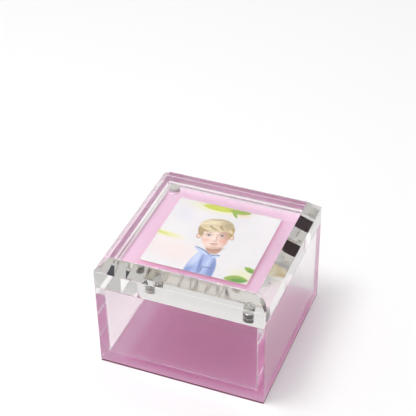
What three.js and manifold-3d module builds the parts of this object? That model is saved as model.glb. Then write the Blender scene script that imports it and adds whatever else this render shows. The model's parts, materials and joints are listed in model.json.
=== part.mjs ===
// Clear acrylic photo box: a cemented box with a loose, thick lid.
// The lid is a bevelled block and a backing plate that hold a print between them by magnets.
// Millimetres, +Z up. The origin is the middle of the underside, and the front faces -Y.
import * as THREE from "three";
import { mergeVertices } from "three/addons/utils/BufferGeometryUtils.js";
import { ConvexGeometry } from "three/addons/geometries/ConvexGeometry.js";
import Module from "manifold-3d";

const wasm = await Module();
wasm.setup();

// Sizes of the box.
const box_width = 101.6;
const box_depth = 101.6;
const wall_thickness = 4.76;
const floor_thickness = 5.35;
const sheet_thickness = 1.0;
const rim_height = 57.15;
const sheet_inset = 0.4;

// Sizes of the lid.
const block_thickness = 18.0;
const block_bevel = 7.0;
const backing_thickness = 3.0;
const lid_play = 1.59;
const backing_sheet_inset = 1.4;

// Sizes of the print and of the place where it lies.
const print_width = 64.4;
const print_depth = 62.2;
const print_thickness = 0.25;
const print_shift_y = 1.5;
const print_turn_degrees = 0.3;

// Sizes of the disc magnets, one pair in each of two opposite corners.
const magnet_diameter = 6.35;
const magnet_height = 3.2;
const magnet_inset = 11.8;
const magnet_play = 0.2;
const round_segments = 48;

// Heights and widths that follow from the sizes above.
const floor_top = sheet_thickness + floor_thickness;
const inner_width = box_width - 2 * wall_thickness;
const inner_depth = box_depth - 2 * wall_thickness;
const wall_height = rim_height - sheet_thickness;
const backing_width = inner_width - 2 * lid_play;
const backing_depth = inner_depth - 2 * lid_play;
const backing_top = rim_height - print_thickness;
const backing_underside = backing_top - backing_thickness;
const magnet_x = box_width / 2 - magnet_inset;
const magnet_y = box_depth / 2 - magnet_inset;
const hole_diameter = magnet_diameter + 2 * magnet_play;
const cut_overrun = 1.0;

const clear_acrylic = new THREE.MeshStandardMaterial({ color: 0xe9f0f2, roughness: 0.05, metalness: 0 });
const pink_acrylic = new THREE.MeshStandardMaterial({ color: 0xebc0dc, roughness: 0.3, metalness: 0 });
const deep_pink_acrylic = new THREE.MeshStandardMaterial({ color: 0xb87698, roughness: 0.3, metalness: 0 });
const photo_paper = new THREE.MeshStandardMaterial({ color: 0xeeeae4, roughness: 0.5, metalness: 0 });
const nickel = new THREE.MeshStandardMaterial({ color: 0xb9b9b6, roughness: 0.25, metalness: 1 });

function plate(width, depth, height, x, y, underside) {
  const shape = new THREE.BoxGeometry(width, depth, height);
  shape.translate(x, y, underside + height / 2);
  return shape;
}

function disc(diameter, height, x, y, underside) {
  const shape = new THREE.CylinderGeometry(diameter / 2, diameter / 2, height, round_segments);
  shape.rotateX(Math.PI / 2);
  shape.translate(x, y, underside + height / 2);
  return shape;
}

function bevelledBlock(width, depth, height, bevel, underside) {
  const corners = [];
  const side_top = underside + height - bevel;
  for (const across of [-1, 1]) {
    for (const along of [-1, 1]) {
      const edge_x = across * width / 2;
      const edge_y = along * depth / 2;
      corners.push(new THREE.Vector3(edge_x, edge_y, underside));
      corners.push(new THREE.Vector3(edge_x, edge_y, side_top));
      corners.push(new THREE.Vector3(edge_x - across * bevel, edge_y - along * bevel, underside + height));
    }
  }
  return new ConvexGeometry(corners);
}

function toSolid(shape) {
  const bare = shape.clone();
  bare.deleteAttribute("normal");
  bare.deleteAttribute("uv");
  const merged = mergeVertices(bare, 1e-5);
  const vertProperties = new Float32Array(merged.attributes.position.array);
  const triVerts = new Uint32Array(merged.index.array);
  return new wasm.Manifold(new wasm.Mesh({ numProp: 3, vertProperties, triVerts }));
}

function toShape(solid) {
  const mesh = solid.getMesh();
  const shape = new THREE.BufferGeometry();
  shape.setAttribute("position", new THREE.BufferAttribute(new Float32Array(mesh.vertProperties), 3));
  shape.setIndex(new THREE.BufferAttribute(new Uint32Array(mesh.triVerts), 1));
  const flat = shape.toNonIndexed();
  flat.computeVertexNormals();
  return flat;
}

function drilled(shape, holes) {
  let solid = toSolid(shape);
  for (const hole of holes) {
    solid = solid.subtract(toSolid(hole));
  }
  return toShape(solid);
}

const photo_box = new THREE.Group();
photo_box.name = "acrylic_photo_box";

function add(name, shape, material) {
  const mesh = new THREE.Mesh(shape, material);
  mesh.name = name;
  photo_box.add(mesh);
}

// Box: four walls around a floor plate, all cemented, on a thin deep pink sheet.
const sheet_width = box_width - 2 * sheet_inset;
const sheet_depth = box_depth - 2 * sheet_inset;
const wall_y = (box_depth - wall_thickness) / 2;
const wall_x = (box_width - wall_thickness) / 2;
const base_sheet = plate(sheet_width, sheet_depth, sheet_thickness, 0, 0, 0);
const floor_plate = plate(inner_width, inner_depth, floor_thickness, 0, 0, sheet_thickness);
const front_wall = plate(box_width, wall_thickness, wall_height, 0, -wall_y, sheet_thickness);
const back_wall = plate(box_width, wall_thickness, wall_height, 0, wall_y, sheet_thickness);
const left_wall = plate(wall_thickness, inner_depth, wall_height, -wall_x, 0, sheet_thickness);
const right_wall = plate(wall_thickness, inner_depth, wall_height, wall_x, 0, sheet_thickness);
add("base_sheet", base_sheet, deep_pink_acrylic);
add("floor_plate", floor_plate, clear_acrylic);
add("front_wall", front_wall, clear_acrylic);
add("back_wall", back_wall, clear_acrylic);
add("left_wall", left_wall, clear_acrylic);
add("right_wall", right_wall, clear_acrylic);

// Lid block: it rests on the rim and carries its magnets in blind pockets, flush with its underside.
const corner_signs = { back_left: [-1, 1], front_right: [1, -1] };
const pockets = [];
const through_holes = [];
for (const [across, along] of Object.values(corner_signs)) {
  const x = across * magnet_x;
  const y = along * magnet_y;
  const pocket_depth = magnet_height + cut_overrun;
  const hole_depth = backing_thickness + 2 * cut_overrun;
  pockets.push(disc(hole_diameter, pocket_depth, x, y, rim_height - cut_overrun));
  through_holes.push(disc(hole_diameter, hole_depth, x, y, backing_underside - cut_overrun));
}
const whole_block = bevelledBlock(box_width, box_depth, block_thickness, block_bevel, rim_height);
add("lid_block", drilled(whole_block, pockets), clear_acrylic);

// Print: it lies loose and a little askew between the block and the backing plate.
const print_underside = rim_height - print_thickness;
const photo_print = plate(print_width, print_depth, print_thickness, 0, 0, print_underside);
photo_print.rotateZ(THREE.MathUtils.degToRad(print_turn_degrees));
photo_print.translate(0, print_shift_y, 0);
add("photo_print", photo_print, photo_paper);

// Backing: a clear plate on a smaller pink sheet that plugs into the box and locates the lid.
const whole_backing = plate(backing_width, backing_depth, backing_thickness, 0, 0, backing_underside);
const sheet_underside = backing_underside - sheet_thickness;
const backing_sheet_width = backing_width - 2 * backing_sheet_inset;
const backing_sheet_depth = backing_depth - 2 * backing_sheet_inset;
const backing_sheet = plate(backing_sheet_width, backing_sheet_depth, sheet_thickness, 0, 0, sheet_underside);
add("backing_plate", drilled(whole_backing, through_holes), clear_acrylic);
add("backing_sheet", backing_sheet, pink_acrylic);

// Magnets: the backing's ones fill the thickness of its plate and stand on its sheet.
for (const [corner, [across, along]] of Object.entries(corner_signs)) {
  const x = across * magnet_x;
  const y = along * magnet_y;
  add(`lid_magnet_${corner}`, disc(magnet_diameter, magnet_height, x, y, rim_height), nickel);
  add(`backing_magnet_${corner}`, disc(magnet_diameter, backing_thickness, x, y, backing_underside), nickel);
}

export default photo_box;
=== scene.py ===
import json
import math

import bmesh
import bpy
from mathutils import Matrix, Vector


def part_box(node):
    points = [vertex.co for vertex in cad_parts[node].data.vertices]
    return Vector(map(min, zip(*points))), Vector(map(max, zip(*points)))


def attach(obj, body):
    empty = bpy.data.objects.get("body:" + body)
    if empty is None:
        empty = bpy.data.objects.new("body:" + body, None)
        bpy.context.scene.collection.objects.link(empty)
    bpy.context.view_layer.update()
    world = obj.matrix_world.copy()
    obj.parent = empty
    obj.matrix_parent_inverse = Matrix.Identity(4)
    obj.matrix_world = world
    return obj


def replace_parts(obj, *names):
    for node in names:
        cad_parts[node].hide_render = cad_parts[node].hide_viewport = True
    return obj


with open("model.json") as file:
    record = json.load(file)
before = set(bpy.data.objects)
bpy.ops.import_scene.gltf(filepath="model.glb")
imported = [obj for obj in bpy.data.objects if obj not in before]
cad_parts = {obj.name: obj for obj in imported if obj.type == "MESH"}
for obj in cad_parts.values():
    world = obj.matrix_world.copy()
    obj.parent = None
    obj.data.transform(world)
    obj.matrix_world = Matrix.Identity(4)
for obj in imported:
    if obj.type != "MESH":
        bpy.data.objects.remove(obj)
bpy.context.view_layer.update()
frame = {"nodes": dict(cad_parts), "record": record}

MM = 0.001
scene = bpy.context.scene
scene.view_settings.view_transform = "Standard"


# Camera: a long lens above the front right corner, fitted to the photograph's frame of 416 pixels.
FRAME_PIXELS = 416
FOCAL_PIXELS = 1209.0
SENSOR_MM = 36.0
CAMERA_AZIMUTH = math.radians(22.06)
CAMERA_ELEVATION = math.radians(37.0)
CAMERA_ROLL = math.radians(-0.99)
CAMERA_DISTANCE_MM = 715.3
CAMERA_RIGHT_MM = -2.2
CAMERA_UP_MM = 42.0
AIM_HEIGHT_MM = 37.3
CLIP_START_MM = 10.0


def make_camera():
    flat = math.cos(CAMERA_ELEVATION)
    back_x = math.sin(CAMERA_AZIMUTH) * flat
    back_y = -math.cos(CAMERA_AZIMUTH) * flat
    back = Vector((back_x, back_y, math.sin(CAMERA_ELEVATION)))
    level_right = Vector((math.cos(CAMERA_AZIMUTH), math.sin(CAMERA_AZIMUTH), 0.0))
    level_up = back.cross(level_right)
    right = level_right * math.cos(CAMERA_ROLL) + level_up * math.sin(CAMERA_ROLL)
    up = level_up * math.cos(CAMERA_ROLL) - level_right * math.sin(CAMERA_ROLL)
    place = back * CAMERA_DISTANCE_MM + right * CAMERA_RIGHT_MM + up * CAMERA_UP_MM
    place += Vector((0.0, 0.0, AIM_HEIGHT_MM))
    lens = bpy.data.cameras.new("camera")
    lens.sensor_width = SENSOR_MM
    lens.lens = FOCAL_PIXELS / FRAME_PIXELS * SENSOR_MM
    lens.clip_start = CLIP_START_MM * MM
    camera = bpy.data.objects.new("camera", lens)
    turn = Matrix((right, up, back)).transposed().to_4x4()
    turn.translation = place * MM
    camera.matrix_world = turn
    scene.collection.objects.link(camera)
    scene.camera = camera


make_camera()


# Print: where it lies, a little askew.
MICRON_DIGITS = 6


def print_corners():
    """The print's middle and its four corners from there, counter-clockwise from the back right one."""
    low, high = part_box("photo_print")
    spots = set()
    for vert in frame["nodes"]["photo_print"].data.vertices:
        spots.add((round(vert.co.x, MICRON_DIGITS), round(vert.co.y, MICRON_DIGITS)))
    middle = Vector(((low.x + high.x) / 2, (low.y + high.y) / 2))
    corners = [Vector(spot) - middle for spot in spots]
    corners.sort(key=lambda corner: math.atan2(corner.y, corner.x) % math.tau)
    return middle, corners


PRINT_MIDDLE, PRINT_CORNERS = print_corners()
print_side = PRINT_CORNERS[0] - PRINT_CORNERS[1]
PRINT_TURN = math.atan2(print_side.y, print_side.x)
PRINT_HALF_WIDE = print_side.length / 2
PRINT_HALF_DEEP = (PRINT_CORNERS[0] - PRINT_CORNERS[3]).length / 2


# Materials. A colour is linear; the fine variation of each is given in noise cells per metre.
ACRYLIC_INDEX = 1.49
THICK_STOCK_TINT = (0.87, 0.81, 0.68, 1.0)
THICK_STOCK_DENSITY = 1.0
CEMENT_COLOUR = (0.99, 0.99, 0.99, 1.0)
SATIN_SPECULAR = 0.15
SATIN_SPREAD = 0.06
PLATING_SPREAD = 0.4
PAPER_COLOURS = ((0.80, 0.79, 0.77, 1.0), (0.86, 0.86, 0.84, 1.0))
PAPER_ROUGHNESS = 0.6
HAZE_CELLS = 90.0
CLOUD_CELLS = 40.0
GRAIN_CELLS = 900.0
TARNISH_CELLS = 600.0
FIBRE_CELLS = 2500.0
NOISE_LOW = 0.3
NOISE_HIGH = 0.7


def new_material(name):
    material = bpy.data.materials.new(name)
    material.use_nodes = True
    shader = material.node_tree.nodes["Principled BSDF"]
    return material, material.node_tree, shader


def object_noise(tree, scale, detail=2.0, roughness=0.5):
    place = tree.nodes.new("ShaderNodeTexCoord")
    noise = tree.nodes.new("ShaderNodeTexNoise")
    noise.inputs["Scale"].default_value = scale
    noise.inputs["Detail"].default_value = detail
    noise.inputs["Roughness"].default_value = roughness
    tree.links.new(place.outputs["Object"], noise.inputs["Vector"])
    return noise


def spread(tree, socket, low, high):
    """A noise's usual values stretched from a low to a high one."""
    span = tree.nodes.new("ShaderNodeMapRange")
    span.inputs["From Min"].default_value = NOISE_LOW
    span.inputs["From Max"].default_value = NOISE_HIGH
    span.inputs["To Min"].default_value = low
    span.inputs["To Max"].default_value = high
    tree.links.new(socket, span.inputs["Value"])
    return span.outputs["Result"]


def display(red, green, blue):
    """A colour given in display values of 0 to 255, as the shader's linear colour."""
    shares = [value / 255.0 for value in (red, green, blue)]
    linear = [s / 12.92 if s <= 0.04045 else ((s + 0.055) / 1.055) ** 2.4 for s in shares]
    return (*linear, 1.0)


def blend_colours(tree, factor, first, second):
    """A colour that goes from first to second by a factor; each may be a socket or a colour."""
    mix = tree.nodes.new("ShaderNodeMix")
    mix.data_type = "RGBA"
    for socket_name, value in (("A", first), ("B", second)):
        socket = next(s for s in mix.inputs if s.name == socket_name and s.type == "RGBA")
        if isinstance(value, bpy.types.NodeSocket):
            tree.links.new(value, socket)
        else:
            socket.default_value = value
    tree.links.new(factor, mix.inputs["Factor"])
    return next(s for s in mix.outputs if s.type == "RGBA")


def acrylic(name, tint, haze_low, haze_high, absorbs):
    """Clear polished acrylic with a faint haze; thick stock also tints what crosses it many times."""
    material, tree, shader = new_material(name)
    shader.inputs["Base Color"].default_value = tint
    shader.inputs["Transmission Weight"].default_value = 1.0
    shader.inputs["IOR"].default_value = ACRYLIC_INDEX
    haze = object_noise(tree, HAZE_CELLS, detail=3.0)
    tree.links.new(spread(tree, haze.outputs["Fac"], haze_low, haze_high), shader.inputs["Roughness"])
    if absorbs:
        body_tint = tree.nodes.new("ShaderNodeVolumeAbsorption")
        body_tint.inputs["Color"].default_value = THICK_STOCK_TINT
        body_tint.inputs["Density"].default_value = THICK_STOCK_DENSITY
        out = tree.nodes["Material Output"]
        tree.links.new(body_tint.outputs["Volume"], out.inputs["Volume"])
    return material


def cement():
    """A joint where two acrylic pieces are bonded: light goes straight through."""
    material = bpy.data.materials.new("cement_line")
    material.use_nodes = True
    tree = material.node_tree
    tree.nodes.clear()
    film = tree.nodes.new("ShaderNodeBsdfTransparent")
    film.inputs["Color"].default_value = CEMENT_COLOUR
    out = tree.nodes.new("ShaderNodeOutputMaterial")
    tree.links.new(film.outputs["BSDF"], out.inputs["Surface"])
    return material


def outside_share(tree, middle, turn, half_wide, half_deep, fade):
    """Nought inside a rectangle and one outside it; the fade is two distances from its edge."""
    place = tree.nodes.new("ShaderNodeTexCoord")
    local = tree.nodes.new("ShaderNodeMapping")
    local.vector_type = "TEXTURE"
    local.inputs["Location"].default_value = (*middle, 0.0)
    local.inputs["Rotation"].default_value = (0.0, 0.0, turn)
    tree.links.new(place.outputs["Object"], local.inputs["Vector"])
    size = tree.nodes.new("ShaderNodeVectorMath")
    size.operation = "ABSOLUTE"
    tree.links.new(local.outputs["Vector"], size.inputs[0])
    beyond = tree.nodes.new("ShaderNodeVectorMath")
    beyond.operation = "SUBTRACT"
    beyond.inputs[1].default_value = (half_wide, half_deep, 0.0)
    tree.links.new(size.outputs["Vector"], beyond.inputs[0])
    split = tree.nodes.new("ShaderNodeSeparateXYZ")
    tree.links.new(beyond.outputs["Vector"], split.inputs["Vector"])
    farther = tree.nodes.new("ShaderNodeMath")
    farther.operation = "MAXIMUM"
    tree.links.new(split.outputs["X"], farther.inputs[0])
    tree.links.new(split.outputs["Y"], farther.inputs[1])
    step = tree.nodes.new("ShaderNodeMapRange")
    step.interpolation_type = "SMOOTHSTEP"
    step.inputs["From Min"].default_value = fade[0] * MM
    step.inputs["From Max"].default_value = fade[1] * MM
    tree.links.new(farther.outputs["Value"], step.inputs["Value"])
    return step.outputs["Result"]


def pink_sheet(name, colour, deep_colour, roughness, inner=None, rim=None):
    """Satin pink sheet, which may have one more colour inside a rectangle and one outside another."""
    material, tree, shader = new_material(name)
    cloud = object_noise(tree, CLOUD_CELLS, detail=4.0, roughness=0.6)
    shade = spread(tree, cloud.outputs["Fac"], 0.0, 1.0)
    pink = blend_colours(tree, shade, deep_colour, colour)
    if inner:
        inner_colour, zone = inner
        pink = blend_colours(tree, outside_share(tree, *zone), inner_colour, pink)
    if rim:
        rim_colour, zone = rim
        pink = blend_colours(tree, outside_share(tree, *zone), pink, rim_colour)
    tree.links.new(pink, shader.inputs["Base Color"])
    grain = object_noise(tree, GRAIN_CELLS)
    gloss = spread(tree, grain.outputs["Fac"], roughness - SATIN_SPREAD, roughness + SATIN_SPREAD)
    tree.links.new(gloss, shader.inputs["Roughness"])
    shader.inputs["Specular IOR Level"].default_value = SATIN_SPECULAR
    return material


def nickel(name, dull_colour, bright_colour, roughness):
    """Nickel plating with a fine cloud of tarnish in its colour and gloss."""
    material, tree, shader = new_material(name)
    shader.inputs["Metallic"].default_value = 1.0
    tarnish = object_noise(tree, TARNISH_CELLS, detail=3.0)
    shade = spread(tree, tarnish.outputs["Fac"], 0.0, 1.0)
    colour = blend_colours(tree, shade, dull_colour, bright_colour)
    tree.links.new(colour, shader.inputs["Base Color"])
    smooth = roughness * (1.0 - PLATING_SPREAD)
    rough = roughness * (1.0 + PLATING_SPREAD)
    gloss = spread(tree, tarnish.outputs["Fac"], smooth, rough)
    tree.links.new(gloss, shader.inputs["Roughness"])
    return material


def paper(name):
    material, tree, shader = new_material(name)
    fibre = object_noise(tree, FIBRE_CELLS, detail=3.0)
    shade = spread(tree, fibre.outputs["Fac"], 0.0, 1.0)
    colour = blend_colours(tree, shade, *PAPER_COLOURS)
    tree.links.new(colour, shader.inputs["Base Color"])
    shader.inputs["Roughness"].default_value = PAPER_ROUGHNESS
    return material


PANE_ACRYLIC = acrylic("polished_acrylic", (0.925, 0.92, 0.922, 1.0), 0.0, 0.004, False)
BLOCK_ACRYLIC = acrylic("polished_thick_acrylic", (0.975, 0.97, 0.97, 1.0), 0.012, 0.018, True)
CEMENT = cement()

# Zones of the pink sheets: a rectangle's middle, turn and half sizes, and the two distances of its fade in
# millimetres. Their colours are painted light and shade: the base sheet is painted deeper in the middle
# and at the right as shade under the lid, and paler at its left, front and back edges as light that comes
# down the walls; the backing's sheet is painted darker at its left and right sides as shade at its rim,
# and deeper under the print as the print's shadow.
BASE_PAINTED_SHADE_ZONE = ((9.0 * MM, 0.0), 0.0, 46.0 * MM, 42.0 * MM, (-5.0, 4.0))
# The backing's sheet is painted darker within this distance of its left and right edges, as painted shade
# at its rim.
FILM_SHADED_RIM_MM = 2.2
film_low, film_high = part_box("backing_sheet")
film_half = (film_high - film_low) / 2
FILM_PAINTED_SHADE_SIDES_ZONE = ((0.0, 0.0), 0.0, film_half.x, film_half.y + FILM_SHADED_RIM_MM * MM, (-FILM_SHADED_RIM_MM, 0.0))
# The backing's sheet is painted deeper under the print and a little beyond its edges, as the print's
# painted shadow.
PRINT_PAINTED_SHADOW_ZONE = (PRINT_MIDDLE, PRINT_TURN, PRINT_HALF_WIDE, PRINT_HALF_DEEP, (-1.8, 2.4))

SATIN = 0.4
# Base sheet: its inner colour is painted shade under the lid, and the paler outer colour at its edges is
# painted light from the walls.
BASE_PINK = pink_sheet("base_pink", (0.89, 0.57, 0.78, 1.0), (0.87, 0.55, 0.76, 1.0), SATIN,
                       inner=((0.82, 0.365, 0.64, 1.0), BASE_PAINTED_SHADE_ZONE))
# The base sheet's sloped rim is painted dark maroon, as painted contact shade along the box's bottom edge.
BASE_EDGE_PAINTED_SHADE = pink_sheet("base_edge", (0.26, 0.075, 0.13, 1.0), (0.21, 0.06, 0.105, 1.0), SATIN)
# Painted: the inner colour is the print's shadow on the sheet, and the rim colour is shade at the sheet's
# left and right edges.
LID_PINK = pink_sheet("lid_pink", (0.985, 0.775, 0.93, 1.0), (0.975, 0.76, 0.915, 1.0), SATIN,
                      inner=((0.985, 0.52, 0.76, 1.0), PRINT_PAINTED_SHADOW_ZONE),
                      rim=((0.56, 0.32, 0.46, 1.0), FILM_PAINTED_SHADE_SIDES_ZONE))
LID_EDGE = pink_sheet("lid_edge", (0.60, 0.35, 0.50, 1.0), (0.56, 0.32, 0.46, 1.0), SATIN)
NICKEL = nickel("nickel_plating", (0.52, 0.51, 0.48, 1.0), (0.66, 0.66, 0.63, 1.0), 0.2)
# Nickel whose darker colour is a painted reflection of the dark room in front, for the front right
# magnets' sides.
NICKEL_SIDE_PAINTED_DARK = nickel("dark_nickel_side", (0.16, 0.14, 0.14, 1.0), (0.26, 0.24, 0.24, 1.0), 0.06)
PAPER = paper("photo_paper")


# The print's picture: soft shapes laid over each other on the paper, placed in millimetres from the
# print's middle, x to the right and y towards the back along the print's own edges.
STRAND_LONG_MM = 5.0
STRAND_WIDE_MM = 0.7
BACKDROP_CELLS = 30.0
SHEEN_CELLS = 700.0
SHEEN_LOW = 0.32
SHEEN_HIGH = 0.42
HEAD_X = 0.5
HEAD_Y = 4.6
HEAD_LEAN_DEGREES = 14.0


class Painter:
    def __init__(self, tree, middle, turn, colour):
        self.tree = tree
        self.colour = colour
        place = tree.nodes.new("ShaderNodeTexCoord").outputs["Object"]
        self.place = self.mapped(place, middle, turn, (1.0, 1.0, 1.0))

    def mapped(self, place, middle, turn, scale):
        local = self.tree.nodes.new("ShaderNodeMapping")
        local.vector_type = "TEXTURE"
        local.inputs["Location"].default_value = middle
        local.inputs["Rotation"].default_value = (0.0, 0.0, math.radians(turn))
        local.inputs["Scale"].default_value = scale
        self.tree.links.new(place, local.inputs["Vector"])
        return local.outputs["Vector"]

    def oval(self, x, y, wide, tall, turn, soft, strength):
        """A mask: the strength inside a soft-edged oval and nought outside."""
        tree = self.tree
        reach = (1.0 + soft) * MM
        middle = Vector((x * MM, y * MM, 0.0))
        local = self.mapped(self.place, middle, turn, (wide * reach, tall * reach, 1.0))
        depth = tree.nodes.new("ShaderNodeTexGradient")
        depth.gradient_type = "SPHERICAL"
        tree.links.new(local, depth.inputs["Vector"])
        fade = tree.nodes.new("ShaderNodeMapRange")
        fade.interpolation_type = "SMOOTHSTEP"
        fade.inputs["From Max"].default_value = 2.0 * soft / (1.0 + soft)
        fade.inputs["To Max"].default_value = strength
        tree.links.new(depth.outputs["Fac"], fade.inputs["Value"])
        return fade.outputs["Result"]

    def blob(self, colour, x, y, wide, tall, turn=0.0, soft=0.1, strength=1.0, within=None):
        """Paints one soft-edged oval, kept inside a mask if there is one, and gives its own mask back."""
        mask = self.oval(x, y, wide, tall, turn, soft, strength)
        if within:
            mask = self.joined("MULTIPLY", mask, within)
        self.colour = blend_colours(self.tree, mask, self.colour, colour)
        return mask

    def leaf(self, colour, x, y, long, wide, turn, blur=0.3):
        """Paints one pointed leaf of a half length and a half width."""
        bow = (long * long + wide * wide) / (2.0 * wide)
        aside_x = -math.sin(math.radians(turn)) * (bow - wide)
        aside_y = math.cos(math.radians(turn)) * (bow - wide)
        near = self.oval(x + aside_x, y + aside_y, bow, bow, 0.0, blur / bow, 1.0)
        far = self.oval(x - aside_x, y - aside_y, bow, bow, 0.0, blur / bow, 1.0)
        self.colour = blend_colours(self.tree, self.joined("MULTIPLY", near, far), self.colour, colour)

    def joined(self, operation, first, second):
        node = self.tree.nodes.new("ShaderNodeMath")
        node.operation = operation
        self.tree.links.new(first, node.inputs[0])
        self.tree.links.new(second, node.inputs[1])
        return node.outputs["Value"]

    def strands(self, dark, light, turn):
        """A colour in fine streaks along a direction."""
        size = (STRAND_LONG_MM * MM, STRAND_WIDE_MM * MM, 1.0)
        local = self.mapped(self.place, Vector((0.0, 0.0, 0.0)), turn, size)
        noise = self.tree.nodes.new("ShaderNodeTexNoise")
        noise.inputs["Scale"].default_value = 1.0
        noise.inputs["Detail"].default_value = 3.0
        self.tree.links.new(local, noise.inputs["Vector"])
        return blend_colours(self.tree, spread(self.tree, noise.outputs["Fac"], 0.0, 1.0), dark, light)


class HeadPainter:
    """Paints in the head's own frame: x to its right side in the picture, y towards the crown."""

    def __init__(self, painter, x, y, lean):
        self.painter = painter
        self.x = x
        self.y = y
        self.lean = lean

    def blob(self, colour, x, y, wide, tall, turn=0.0, soft=0.1, strength=1.0, within=None):
        lean = math.radians(self.lean)
        across = self.x + x * math.cos(lean) - y * math.sin(lean)
        along = self.y + x * math.sin(lean) + y * math.cos(lean)
        turn += self.lean
        return self.painter.blob(colour, across, along, wide, tall, turn, soft, strength, within)

    def strands(self, dark, light, turn):
        return self.painter.strands(dark, light, turn + self.lean)


def paint_leaves(painter):
    lime = display(204, 214, 48)
    leaf = display(150, 182, 44)
    deep = display(92, 158, 44)
    pale = display(234, 236, 160)
    painter.blob(display(226, 224, 238), -24.0, 17.0, 5.0, 7.0, 30.0, 0.95, 0.6)
    painter.blob(display(244, 230, 226), -17.0, -16.0, 15.0, 8.0, -10.0, 0.95, 0.8)
    painter.blob(pale, -4.0, 30.0, 15.0, 4.6, 6.0, 0.8, 0.8)
    painter.leaf(lime, -5.0, 29.4, 12.0, 3.3, 4.0, 0.6)
    painter.blob(display(238, 206, 160), 9.5, 27.0, 3.6, 1.6, 10.0, 0.9, 0.7)
    painter.leaf(leaf, 7.0, 29.4, 6.8, 2.3, 6.0, 0.5)
    painter.leaf(leaf, 4.4, 26.6, 4.4, 1.2, -55.0)
    painter.blob(pale, -28.0, -4.0, 9.0, 2.0, -4.0, 0.9, 1.0)
    painter.blob(lime, -30.0, -3.6, 4.6, 0.9, -4.0, 0.9, 0.6)
    painter.blob(pale, 27.0, -25.0, 6.0, 5.0, 0.0, 0.9, 0.5)
    painter.leaf(leaf, 25.0, -28.6, 7.0, 3.2, 10.0)
    painter.leaf(deep, 26.4, -29.2, 5.4, 1.7, 14.0)
    painter.leaf(leaf, 30.2, -18.8, 4.6, 2.0, -22.0)
    painter.leaf(deep, 31.0, -19.4, 3.2, 0.9, -22.0)


def paint_shirt(painter):
    cloth = painter.strands(display(142, 166, 220), display(180, 200, 240), 78.0)
    fold = display(98, 124, 194)
    light = display(212, 224, 248)
    seam = display(62, 80, 146)
    sleeve = painter.blob(cloth, -1.2, -26.5, 4.4, 15.5, -3.0, 0.06)
    body = painter.blob(cloth, 4.2, -28.5, 7.2, 16.0, 2.0, 0.05)
    painter.blob(light, -2.6, -19.0, 2.2, 8.0, -6.0, 0.8, 0.9, sleeve)
    painter.blob(fold, 1.6, -24.0, 0.9, 9.0, 9.0, 0.8, 0.9)
    painter.blob(fold, -3.6, -30.0, 1.8, 4.5, -18.0, 0.8, 0.7, sleeve)
    painter.blob(fold, 9.4, -26.0, 2.4, 11.0, 4.0, 0.8, 0.8, body)
    painter.blob(light, 5.4, -21.0, 1.4, 5.0, 4.0, 0.9, 0.6, body)
    painter.blob(seam, 6.0, -24.6, 3.0, 0.35, 6.0, 0.6, 0.9, body)
    painter.blob(seam, 3.5, -27.4, 0.35, 3.0, 6.0, 0.6, 0.8, body)


def paint_collar(painter):
    light = display(196, 212, 242)
    seam = display(66, 86, 152)
    painter.blob(seam, -1.4, -11.6, 5.4, 1.3, -24.0, 0.25)
    painter.blob(seam, 7.2, -13.6, 2.6, 1.2, 30.0, 0.25)
    painter.blob(light, -1.6, -12.2, 5.2, 1.2, -24.0, 0.25)
    painter.blob(light, 7.2, -14.2, 2.4, 1.0, 30.0, 0.25)


FRINGE_LOCKS = 9


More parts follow.
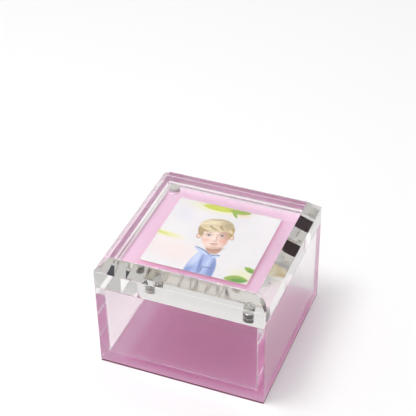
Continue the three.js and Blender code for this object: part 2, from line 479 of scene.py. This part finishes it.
def paint_head(head):
    skin = display(246, 216, 200)
    lit_skin = display(254, 236, 226)
    shade = display(198, 146, 124)
    deep_shade = display(142, 94, 80)
    blush = display(236, 172, 158)
    hair_dark = display(140, 112, 62)
    hair_mid = display(202, 176, 112)
    hair_pale = display(240, 230, 200)
    white = display(238, 234, 234)
    iris = display(86, 104, 122)
    dark = display(44, 34, 34)
    lip = display(208, 126, 118)
    lip_deep = display(150, 78, 76)
    head.blob(shade, 0.4, -13.0, 4.4, 4.6, 0.0, 0.12)
    head.blob(deep_shade, 0.8, -12.4, 4.2, 1.8, 0.0, 0.8, 0.75)
    head.blob(head.strands(hair_dark, hair_mid, 80.0), 0.0, 3.8, 10.4, 11.0, 0.0, 0.06)
    for side in (-1.0, 1.0):
        head.blob(shade, side * 9.5, -1.8, 1.5, 2.5, side * 8.0, 0.2)
        head.blob(skin, side * 9.5, -1.7, 0.9, 1.8, side * 8.0, 0.4)
    brow = head.blob(skin, 0.0, 0.4, 9.0, 9.4, 0.0, 0.05)
    jaw = head.blob(skin, 0.0, -5.0, 7.5, 8.4, 0.0, 0.07)
    face = head.painter.joined("MAXIMUM", brow, jaw)
    head.blob(lit_skin, -3.4, -1.0, 5.0, 8.5, 0.0, 0.9, 0.8, face)
    head.blob(shade, 8.4, -2.0, 4.2, 10.0, 8.0, 0.8, 0.9, face)
    head.blob(shade, -9.2, -3.0, 1.8, 7.0, -8.0, 0.9, 0.5, face)
    head.blob(shade, 0.5, 6.2, 8.6, 2.4, 0.0, 0.8, 0.6, face)
    head.blob(shade, 1.2, -13.0, 5.5, 2.0, 0.0, 0.9, 0.6, face)
    for side in (-1.0, 1.0):
        head.blob(blush, side * 4.9, -5.2, 2.4, 1.8, 0.0, 0.9, 0.6, face)
        head.blob(shade, side * 3.9, -0.3, 2.4, 1.5, 0.0, 0.9, 0.6)
        head.blob(white, side * 3.9, -0.9, 1.5, 0.7, 0.0, 0.3)
        head.blob(iris, side * 3.9, -0.85, 0.8, 0.75, 0.0, 0.25)
        head.blob(dark, side * 3.9, -0.85, 0.42, 0.42, 0.0, 0.3)
        head.blob(dark, side * 3.9, -0.25, 1.7, 0.28, 0.0, 0.6, 0.85)
        head.blob(shade, side * 3.9, -1.75, 1.5, 0.26, 0.0, 0.9, 0.6)
        head.blob(hair_dark, side * 4.0, 2.0, 2.2, 0.4, side * 3.0, 0.7, 0.7)
        head.blob(deep_shade, side * 0.75, -5.75, 0.38, 0.26, 0.0, 0.7, 0.7)
    head.blob(shade, 0.9, -3.2, 0.7, 2.5, 0.0, 0.9, 0.55)
    head.blob(lit_skin, -0.25, -3.4, 0.5, 2.4, 0.0, 0.9, 0.7)
    head.blob(shade, 0.1, -6.2, 1.4, 0.4, 0.0, 0.9, 0.6)
    head.blob(lip, 0.0, -8.65, 2.0, 0.75, 0.0, 0.35, 0.9)
    for side in (-1.0, 1.0):
        head.blob(lip_deep, side * 1.15, -8.4, 1.35, 0.2, side * 11.0, 0.6, 0.85)
    head.blob(lit_skin, 0.0, -8.95, 0.9, 0.22, 0.0, 0.9, 0.5)
    head.blob(shade, 0.1, -10.0, 1.5, 0.4, 0.0, 0.9, 0.6)
    head.blob(head.strands(hair_dark, hair_mid, 84.0), -8.9, 3.0, 1.7, 5.0, 6.0, 0.15)
    head.blob(head.strands(hair_dark, hair_mid, 96.0), 8.9, 3.2, 1.7, 5.2, -6.0, 0.15)
    crown = head.blob(head.strands(hair_mid, hair_pale, 12.0), -0.2, 8.6, 9.8, 6.3, 0.0, 0.08)
    for lock in range(FRINGE_LOCKS):
        share = lock / (FRINGE_LOCKS - 1)
        x = -7.6 + 15.4 * share
        turn = -24.0 - 26.0 * share
        pair = (hair_mid, hair_pale) if lock % 3 else (hair_dark, hair_mid)
        head.blob(head.strands(*pair, turn), x, 6.6 - 0.04 * x * x, 3.2, 1.3, turn, 0.3)
    head.blob(hair_pale, -3.2, 11.2, 5.4, 2.0, 14.0, 0.9, 0.7, crown)
    head.blob(hair_dark, 7.6, 9.0, 3.2, 5.0, 24.0, 0.9, 0.6, crown)
    head.blob(hair_dark, 0.8, 13.8, 7.0, 0.8, -2.0, 0.9, 0.4, crown)


def picture(name, middle, turn):
    material, tree, shader = new_material(name)
    cloud = object_noise(tree, BACKDROP_CELLS)
    shade = spread(tree, cloud.outputs["Fac"], 0.0, 1.0)
    backdrop = blend_colours(tree, shade, display(232, 230, 234), display(244, 243, 244))
    painter = Painter(tree, middle, turn, backdrop)
    paint_leaves(painter)
    paint_shirt(painter)
    paint_head(HeadPainter(painter, HEAD_X, HEAD_Y, HEAD_LEAN_DEGREES))
    paint_collar(painter)
    tree.links.new(painter.colour, shader.inputs["Base Color"])
    sheen = object_noise(tree, SHEEN_CELLS)
    gloss = spread(tree, sheen.outputs["Fac"], SHEEN_LOW, SHEEN_HIGH)
    tree.links.new(gloss, shader.inputs["Roughness"])
    return material


# Pieces. Each stands for the CAD node of the same place and rides on that node's body.
AIR_GAP_MM = 0.05
EDGE_BREAK_MM = 0.25
CUT_TOLERANCE = 1e-7
CUT_DIGITS = 7
SAME_PLACE = 1e-6
EDGE_MERGE = 2e-6
SHARP_ANGLE = math.radians(30.0)
FLAT_ANGLE = math.radians(1.0)
SMOOTH_ANGLE = math.radians(20.0)
QUARTER_TURN = math.radians(90.0)
LEVEL_NORMAL = 0.9
UPRIGHT_NORMAL = 0.5
behaviour = frame["record"]["behaviour"]
body_of_node = {node: body for body, nodes in behaviour["bodies"].items() for node in nodes}


def place_piece(name, form, body, materials):
    mesh = bpy.data.meshes.new(name)
    form.to_mesh(mesh)
    form.free()
    for material in materials:
        mesh.materials.append(material)
    piece = bpy.data.objects.new(name, mesh)
    scene.collection.objects.link(piece)
    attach(piece, body)
    return piece


def add_piece(name, form, node, slot, *materials):
    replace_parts(place_piece(name, form, body_of_node[node], materials), node)


def box_form(low, high):
    form = bmesh.new()
    bmesh.ops.create_cube(form, size=1.0)
    for vert in form.verts:
        vert.co = Vector(low[i] if vert.co[i] < 0.0 else high[i] for i in range(3))
    return form


def cut_form(form, axis, place):
    normal = Vector((0.0, 0.0, 0.0))
    normal[axis] = 1.0
    geometry = form.verts[:] + form.edges[:] + form.faces[:]
    bmesh.ops.bisect_plane(form, geom=geometry, dist=CUT_TOLERANCE, plane_co=normal * place,
                           plane_no=normal)


def inside(point, low, high):
    return all(low[i] < point[i] < high[i] for i in range(3))


BOX_NODES = ["base_sheet", "floor_plate", "front_wall", "back_wall", "left_wall", "right_wall"]
BEAD_MM = 0.9
BEAD_STEPS = 4
BEAD_RIM_GAP_MM = 0.3
bead = BEAD_MM * MM
bead_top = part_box("front_wall")[1].z - BEAD_RIM_GAP_MM * MM
room_low = Vector((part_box("left_wall")[1].x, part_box("front_wall")[1].y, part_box("floor_plate")[1].z))
room_high = Vector((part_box("right_wall")[0].x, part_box("back_wall")[0].y, bead_top))


def bead_runs():
    """The inside joints with a bead: its long axis, start and end, and the two faces that it joins."""
    runs = []
    for x, inward_x in ((room_low.x, 1.0), (room_high.x, -1.0)):
        for y, inward_y in ((room_low.y, 1.0), (room_high.y, -1.0)):
            runs.append((2, room_low.z + bead, room_high.z, (x, inward_x), (y, inward_y)))
    for axis in range(2):
        other = 1 - axis
        for place, inward in ((room_low[other], 1.0), (room_high[other], -1.0)):
            foot = (room_low.z, 1.0)
            runs.append((axis, room_low[axis] + bead, room_high[axis] - bead, (place, inward), foot))
    return runs


def bead_axes(axis):
    return [i for i in range(3) if i != axis]


def bead_box(axis, start, end, first, second):
    low = Vector((0.0, 0.0, 0.0))
    high = Vector((0.0, 0.0, 0.0))
    low[axis] = start
    high[axis] = end
    for i, (place, inward) in zip(bead_axes(axis), (first, second)):
        low[i] = min(place, place + inward * bead)
        high[i] = max(place, place + inward * bead)
    return low, high


def make_beads():
    """The cement that was squeezed out along the inside joints, set in a hollow curve."""
    form = bmesh.new()
    for axis, start, end, first, second in bead_runs():
        across = [(0.0, 0.0)]
        for step in range(BEAD_STEPS + 1):
            angle = QUARTER_TURN * step / BEAD_STEPS
            across.append((bead * (1.0 - math.sin(angle)), bead * (1.0 - math.cos(angle))))
        rings = []
        for along in (start, end):
            ring = []
            for u, v in across:
                place = Vector((0.0, 0.0, 0.0))
                place[axis] = along
                for i, (corner, inward), away in zip(bead_axes(axis), (first, second), (u, v)):
                    place[i] = corner + inward * away
                ring.append(form.verts.new(place))
            rings.append(ring)
        for ring in rings:
            form.faces.new(ring)
        count = len(across)
        for i in range(count):
            j = (i + 1) % count
            side = form.faces.new((rings[0][i], rings[0][j], rings[1][j], rings[1][i]))
            side.material_index = 1 if i in (0, count - 1) else 0
    bmesh.ops.recalc_face_normals(form, faces=form.faces)
    place_piece("cement_bead", form, "box", (PANE_ACRYLIC, CEMENT))


def bonded_plate(name, node, drop_top=0.0):
    """A clear plate whose faces are see-through where a cemented neighbour or a bead touches them."""
    low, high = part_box(node)
    high.z -= drop_top
    form = box_form(low, high)
    around = [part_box(other) for other in BOX_NODES if other != node]
    around += [bead_box(*run) for run in bead_runs()]
    for axis in range(3):
        places = {round(corner[axis], CUT_DIGITS) for pair in around for corner in pair}
        for place in sorted(places):
            if low[axis] + SAME_PLACE < place < high[axis] - SAME_PLACE:
                cut_form(form, axis, place)
    step = AIR_GAP_MM * MM
    for face in form.faces:
        probe = face.calc_center_median() + face.normal * step
        if any(inside(probe, *pair) for pair in around):
            face.material_index = 1
    break_edges(form)
    add_piece(name, form, node, "clear_acrylic", PANE_ACRYLIC, CEMENT)


def break_edges(form, size=EDGE_BREAK_MM, above=-math.inf):
    """Takes the sharp arris off every exposed outside edge that lies above a height."""
    sharp = []
    for edge in form.edges:
        if len(edge.link_faces) != 2 or any(face.material_index for face in edge.link_faces):
            continue
        top = max(vert.co.z for vert in edge.verts)
        if edge.calc_face_angle_signed() > SHARP_ANGLE and top > above:
            sharp.append(edge)
    bmesh.ops.bevel(form, geom=sharp, offset=size * MM, segments=1, profile=0.5, affect="EDGES",
                    clamp_overlap=True)
    bmesh.ops.remove_doubles(form, verts=form.verts, dist=EDGE_MERGE)
    bmesh.ops.dissolve_degenerate(form, dist=SAME_PLACE, edges=form.edges)


def node_form(node):
    """The CAD node's own mesh with its flat faces whole again."""
    form = bmesh.new()
    form.from_mesh(frame["nodes"][node].data)
    bmesh.ops.remove_doubles(form, verts=form.verts, dist=SAME_PLACE)
    bmesh.ops.dissolve_limit(form, angle_limit=FLAT_ANGLE, verts=form.verts, edges=form.edges)
    for face in form.faces:
        face.material_index = 0
        face.smooth = False
    return form


for side in ("front", "back", "left", "right"):
    bonded_plate(f"{side}_pane", f"{side}_wall", AIR_GAP_MM * MM)
bonded_plate("floor_pane", "floor_plate")
make_beads()


MAGNET_CORNERS = ("back_left", "front_right")
POCKET_REACH_MM = 0.3
BLOCK_EDGE_BREAK_MM = 0.12
BLOCK_UNDERSIDE_MM = 1.0


def block_magnet_axes():
    """The middle and the radius of each of the block's magnets."""
    axes = []
    for corner in MAGNET_CORNERS:
        low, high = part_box(f"lid_magnet_{corner}")
        middle = (low + high) / 2
        axes.append((Vector(middle[:2]), (high.x - low.x) / 2))
    return axes


def glue_pockets(form):
    """Fills the block's pockets with clear glue up to its underside, with the magnets sealed in it."""
    pocket = []
    for middle, radius in block_magnet_axes():
        for vert in form.verts:
            if (Vector(vert.co[:2]) - middle).length < radius + POCKET_REACH_MM * MM:
                pocket.append(vert)
    bmesh.ops.delete(form, geom=pocket, context="VERTS")
    rim = [edge for edge in form.edges if edge.is_boundary]
    bmesh.ops.contextual_create(form, geom=rim)
    bmesh.ops.recalc_face_normals(form, faces=form.faces)


def make_block():
    """The bevelled block; the edges of its underside stay sharp."""
    form = node_form("lid_block")
    glue_pockets(form)
    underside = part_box("lid_block")[0].z
    break_edges(form, BLOCK_EDGE_BREAK_MM, underside + BLOCK_UNDERSIDE_MM * MM)
    add_piece("bevelled_block", form, "lid_block", "clear_acrylic", BLOCK_ACRYLIC)


def make_backing():
    """The clear backing plate; its underside is bonded to the pink sheet as far as the sheet goes."""
    form = node_form("backing_plate")
    low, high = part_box("backing_sheet")
    for axis in range(2):
        cut_form(form, axis, low[axis])
        cut_form(form, axis, high[axis])
    for face in form.faces:
        middle = face.calc_center_median()
        if face.normal.z < -LEVEL_NORMAL and low.x < middle.x < high.x and low.y < middle.y < high.y:
            face.material_index = 1
    break_edges(form)
    add_piece("backing_pane", form, "backing_plate", "clear_acrylic", PANE_ACRYLIC, CEMENT)


make_block()
make_backing()


FILM_GAP_MM = 0.03
FILM_EDGE_MM = 0.12
FILM_EDGE_STEPS = 2
BASE_FOOT_MM = 0.4


def make_sheet(name, node, slot, face_material, edge_material, foot=0.0):
    """A pink sheet; with a foot its rim slopes outwards to its underside."""
    low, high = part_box(node)
    high.z -= FILM_GAP_MM * MM
    form = box_form(low, high)
    for vert in form.verts:
        if vert.co.z < (low.z + high.z) / 2:
            vert.co.x += math.copysign(foot, vert.co.x)
            vert.co.y += math.copysign(foot, vert.co.y)
    bmesh.ops.bevel(form, geom=form.edges[:], offset=FILM_EDGE_MM * MM, segments=FILM_EDGE_STEPS,
                    profile=0.5, affect="EDGES")
    for face in form.faces:
        face.material_index = 1 if abs(face.normal.z) < UPRIGHT_NORMAL else 0
    add_piece(name, form, node, slot, face_material, edge_material)


make_sheet("base_film", "base_sheet", "deep_pink_sheet", BASE_PINK, BASE_EDGE_PAINTED_SHADE, BASE_FOOT_MM * MM)
make_sheet("backing_film", "backing_sheet", "pink_sheet", LID_PINK, LID_EDGE)


MAGNET_SEGMENTS = 64
MAGNET_CHAMFER_MM = 0.25
GLUE_COVER_MM = 0.35


def make_magnet(node, gap_below, gap_above, side_material):
    """A chamfered disc, built from rings and the middles of its two ends."""
    low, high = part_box(node)
    middle = (low + high) / 2
    radius = (high.x - low.x) / 2
    chamfer = MAGNET_CHAMFER_MM * MM
    bottom = low.z + gap_below
    top = high.z - gap_above
    outline = [(radius - chamfer, bottom), (radius, bottom + chamfer)]
    outline += [(radius, top - chamfer), (radius - chamfer, top)]
    form = bmesh.new()
    rings = []
    for reach, z in outline:
        ring = []
        for step in range(MAGNET_SEGMENTS):
            angle = math.tau * step / MAGNET_SEGMENTS
            x = middle.x + reach * math.cos(angle)
            y = middle.y + reach * math.sin(angle)
            ring.append(form.verts.new((x, y, z)))
        rings.append(ring)
    bottom_middle = form.verts.new((middle.x, middle.y, bottom))
    top_middle = form.verts.new((middle.x, middle.y, top))
    for i in range(MAGNET_SEGMENTS):
        j = (i + 1) % MAGNET_SEGMENTS
        form.faces.new((bottom_middle, rings[0][j], rings[0][i]))
        form.faces.new((top_middle, rings[-1][i], rings[-1][j]))
        for lower, upper in zip(rings, rings[1:]):
            form.faces.new((lower[i], lower[j], upper[j], upper[i]))
    form.normal_update()
    for face in form.faces:
        face.smooth = abs(face.normal.z) < LEVEL_NORMAL
        face.material_index = 1 if abs(face.normal.z) < UPRIGHT_NORMAL else 0
    for edge in form.edges:
        edge.smooth = edge.calc_face_angle(0.0) < SMOOTH_ANGLE
    add_piece(f"{node}_disc", form, node, "nickel", NICKEL, side_material)


# The front right magnets' sides are painted darker, as a painted reflection of the dark side of the room
# that they face.
for corner in MAGNET_CORNERS:
    side_material = NICKEL_SIDE_PAINTED_DARK if corner == "front_right" else NICKEL
    make_magnet(f"lid_magnet_{corner}", GLUE_COVER_MM * MM, AIR_GAP_MM * MM, side_material)
    make_magnet(f"backing_magnet_{corner}", AIR_GAP_MM * MM, 0.0, side_material)


PRINT_CORNER_MM = 0.8
CORNER_STEPS = 6


def rounded_outline(corners, radius):
    """The outline of a rectangle with rounded corners, counter-clockwise."""
    points = []
    for i, corner in enumerate(corners):
        before = (corners[i - 1] - corner).normalized()
        after = (corners[(i + 1) % 4] - corner).normalized()
        centre = PRINT_MIDDLE + corner + (before + after) * radius
        for step in range(CORNER_STEPS + 1):
            angle = QUARTER_TURN * step / CORNER_STEPS
            points.append(centre - after * radius * math.cos(angle) - before * radius * math.sin(angle))
    return points


def make_print():
    low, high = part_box("photo_print")
    bottom = low.z + AIR_GAP_MM * MM
    top = high.z - AIR_GAP_MM * MM
    outline = rounded_outline(PRINT_CORNERS, PRINT_CORNER_MM * MM)
    form = bmesh.new()
    under = [form.verts.new((*point, bottom)) for point in outline]
    over = [form.verts.new((*point, top)) for point in outline]
    form.faces.new(over)
    paper_faces = [form.faces.new(under[::-1])]
    for i in range(len(outline)):
        j = (i + 1) % len(outline)
        paper_faces.append(form.faces.new((under[i], under[j], over[j], over[i])))
    for face in paper_faces:
        face.material_index = 1
    face_side = picture("print_picture", Vector((*PRINT_MIDDLE, top)), math.degrees(PRINT_TURN))
    add_piece("print_card", form, "photo_print", "photo_paper", face_side, PAPER)


make_print()


# Stage: a pale floor and soft studio light.
FLOOR_HALF_MM = 4000.0
FLOOR_THICKNESS_MM = 20.0
FLOOR_GAP_MM = 0.02
FLOOR_ROUGHNESS = 0.9
FLOOR_COLOUR = (0.85, 0.85, 0.85, 1.0)
SEEN_FLOOR_COLOUR = (0.905, 0.905, 0.905, 1.0)


def make_floor():
    """A paper floor that looks a little paler, also in metal and acrylic, than in the light it gives."""
    half = FLOOR_HALF_MM * MM
    form = box_form((-half, -half, -FLOOR_THICKNESS_MM * MM), (half, half, -FLOOR_GAP_MM * MM))
    mesh = bpy.data.meshes.new("floor")
    form.to_mesh(mesh)
    form.free()
    material, tree, shader = new_material("floor_paper")
    rays = tree.nodes.new("ShaderNodeLightPath").outputs
    seen = rays["Is Camera Ray"]
    for mirrored in ("Is Glossy Ray", "Is Transmission Ray"):
        either = tree.nodes.new("ShaderNodeMath")
        either.operation = "MAXIMUM"
        tree.links.new(seen, either.inputs[0])
        tree.links.new(rays[mirrored], either.inputs[1])
        seen = either.outputs["Value"]
    paper_colour = blend_colours(tree, seen, FLOOR_COLOUR, SEEN_FLOOR_COLOUR)
    tree.links.new(paper_colour, shader.inputs["Base Color"])
    shader.inputs["Roughness"].default_value = FLOOR_ROUGHNESS
    mesh.materials.append(material)
    floor = bpy.data.objects.new("floor", mesh)
    scene.collection.objects.link(floor)


# Each level of the sky is a height from the horizon to the zenith and a radiance.
SKY_LEVELS = ((0.0, 0.72), (0.4, 0.68), (0.62, 0.68), (0.85, 0.74), (0.94, 1.6), (1.0, 2.0))
SKY_SCALE = 2.5
BRIGHT_SIDE = (-0.883, 0.469, 0.0)
FAR_SIDE_LEVEL = 0.46
BRIGHT_SIDE_LEVEL = 1.31


def make_world():
    """Soft light, brightest overhead and at the left."""
    world = bpy.data.worlds.new("studio")
    world.use_nodes = True
    tree = world.node_tree
    sky = tree.nodes["Background"]
    direction = tree.nodes.new("ShaderNodeTexCoord").outputs["Generated"]
    split = tree.nodes.new("ShaderNodeSeparateXYZ")
    ramp = tree.nodes.new("ShaderNodeValToRGB")
    ramp.color_ramp.interpolation = "EASE"
    stops = ramp.color_ramp.elements
    while len(stops) < len(SKY_LEVELS):
        stops.new(0.5)
    for stop, (height, level) in zip(stops, SKY_LEVELS):
        stop.position = height
        stop.color = (level / SKY_SCALE, level / SKY_SCALE, level / SKY_SCALE, 1.0)
    tree.links.new(direction, split.inputs["Vector"])
    tree.links.new(split.outputs["Z"], ramp.inputs["Fac"])
    facing = tree.nodes.new("ShaderNodeVectorMath")
    facing.operation = "DOT_PRODUCT"
    facing.inputs[1].default_value = BRIGHT_SIDE
    tree.links.new(direction, facing.inputs[0])
    side = tree.nodes.new("ShaderNodeMapRange")
    side.inputs["From Min"].default_value = -1.0
    side.inputs["From Max"].default_value = 1.0
    side.inputs["To Min"].default_value = FAR_SIDE_LEVEL
    side.inputs["To Max"].default_value = BRIGHT_SIDE_LEVEL
    tree.links.new(facing.outputs["Value"], side.inputs["Value"])
    level = tree.nodes.new("ShaderNodeVectorMath")
    level.operation = "SCALE"
    tree.links.new(ramp.outputs["Color"], level.inputs[0])
    tree.links.new(side.outputs["Result"], level.inputs["Scale"])
    tree.links.new(level.outputs["Vector"], sky.inputs["Color"])
    sky.inputs["Strength"].default_value = SKY_SCALE
    scene.world = world


# Cards: each lies in a direction of azimuth from the back and elevation in degrees, at one distance, and
# its spans across and up are in millimetres from there.
CARD_DISTANCE_MM = 700.0
CLOTH_ROUGHNESS = 0.9
MOTTLE_CELLS = 150.0
LEFT_BACK_WAY = (-65.5, 40.3)
RIGHT_BACK_WAY = (39.5, 13.0)
RIGHT_FRONT_WAY = (119.5, 43.0)
BROWN_CLOTH = ((0.028, 0.014, 0.018, 1.0), (0.042, 0.020, 0.026, 1.0))
DARK_CLOTH = ((0.012, 0.006, 0.007, 1.0), (0.024, 0.014, 0.014, 1.0))
TAN_CLOTH = ((0.98, 0.90, 0.76, 1.0), (0.63, 0.48, 0.19, 1.0))
BLACK_CLOTH = ((0.05, 0.055, 0.07, 1.0), (0.07, 0.075, 0.09, 1.0))


def make_card(name, way, span_across, span_up, cloth, left_drop=0.0):
    """A card that only the acrylic and the metal show; its upper left corner may be lower."""
    turn, rise = (math.radians(angle) for angle in way)
    flat = math.cos(rise)
    away = Vector((math.sin(turn) * flat, math.cos(turn) * flat, math.sin(rise)))
    across = Vector((math.cos(turn), -math.sin(turn), 0.0))
    upward = across.cross(away)
    left, right = span_across
    low, high = span_up
    corners = [(left, low), (right, low), (right, high), (left, high - left_drop)]
    form = bmesh.new()
    middle = away * CARD_DISTANCE_MM
    form.faces.new([form.verts.new((middle + across * u + upward * v) * MM) for u, v in corners])
    mesh = bpy.data.meshes.new(name)
    form.to_mesh(mesh)
    form.free()
    material, tree, shader = new_material(f"{name}_cloth")
    mottle = object_noise(tree, MOTTLE_CELLS)
    shade = spread(tree, mottle.outputs["Fac"], 0.0, 1.0)
    tree.links.new(blend_colours(tree, shade, *cloth), shader.inputs["Base Color"])
    shader.inputs["Roughness"].default_value = CLOTH_ROUGHNESS
    shader.inputs["Specular IOR Level"].default_value = 0.0
    mesh.materials.append(material)
    card = bpy.data.objects.new(name, mesh)
    card.visible_camera = False
    card.visible_diffuse = False
    card.visible_shadow = False
    scene.collection.objects.link(card)


SOFTBOX_PLACE_MM = (-310.0, -230.0, 1200.0)
SOFTBOX_AIM_MM = (0.0, 0.0, 40.0)
SOFTBOX_SIDE_MM = 400.0
SOFTBOX_RADIANCE = 11.5


def make_softbox():
    lamp = bpy.data.lights.new("left_softbox", "AREA")
    lamp.shape = "SQUARE"
    lamp.size = SOFTBOX_SIDE_MM * MM
    lamp.energy = SOFTBOX_RADIANCE * math.pi * lamp.size ** 2
    holder = bpy.data.objects.new("left_softbox", lamp)
    way = Vector(SOFTBOX_PLACE_MM) - Vector(SOFTBOX_AIM_MM)
    holder.matrix_world = way.to_track_quat("Z", "Y").to_matrix().to_4x4()
    holder.location = Vector(SOFTBOX_PLACE_MM) * MM
    scene.collection.objects.link(holder)


make_floor()
make_world()
make_softbox()
make_card("brown_card", LEFT_BACK_WAY, (32.0, 110.0), (0.0, 110.0), BROWN_CLOTH)
make_card("dark_flag", RIGHT_BACK_WAY, (0.0, 56.0), (43.0, 79.0), DARK_CLOTH)
make_card("tan_card", LEFT_BACK_WAY, (8.0, 32.0), (0.0, 60.0), TAN_CLOTH, left_drop=20.0)
make_card("black_card", RIGHT_FRONT_WAY, (-67.0, -18.0), (-60.0, 60.0), BLACK_CLOTH)
make_card("low_black_card", RIGHT_FRONT_WAY, (-18.0, 60.0), (-60.0, 0.0), BLACK_CLOTH)

# Light meets many faces of the acrylic, so its paths are long.
ACRYLIC_BOUNCES = 96
CEMENT_BOUNCES = 64
DIFFUSE_BOUNCES = 12
scene.cycles.blur_glossy = 0.0
scene.cycles.max_bounces = ACRYLIC_BOUNCES
scene.cycles.transmission_bounces = ACRYLIC_BOUNCES
scene.cycles.glossy_bounces = ACRYLIC_BOUNCES
scene.cycles.diffuse_bounces = DIFFUSE_BOUNCES
scene.cycles.transparent_max_bounces = CEMENT_BOUNCES
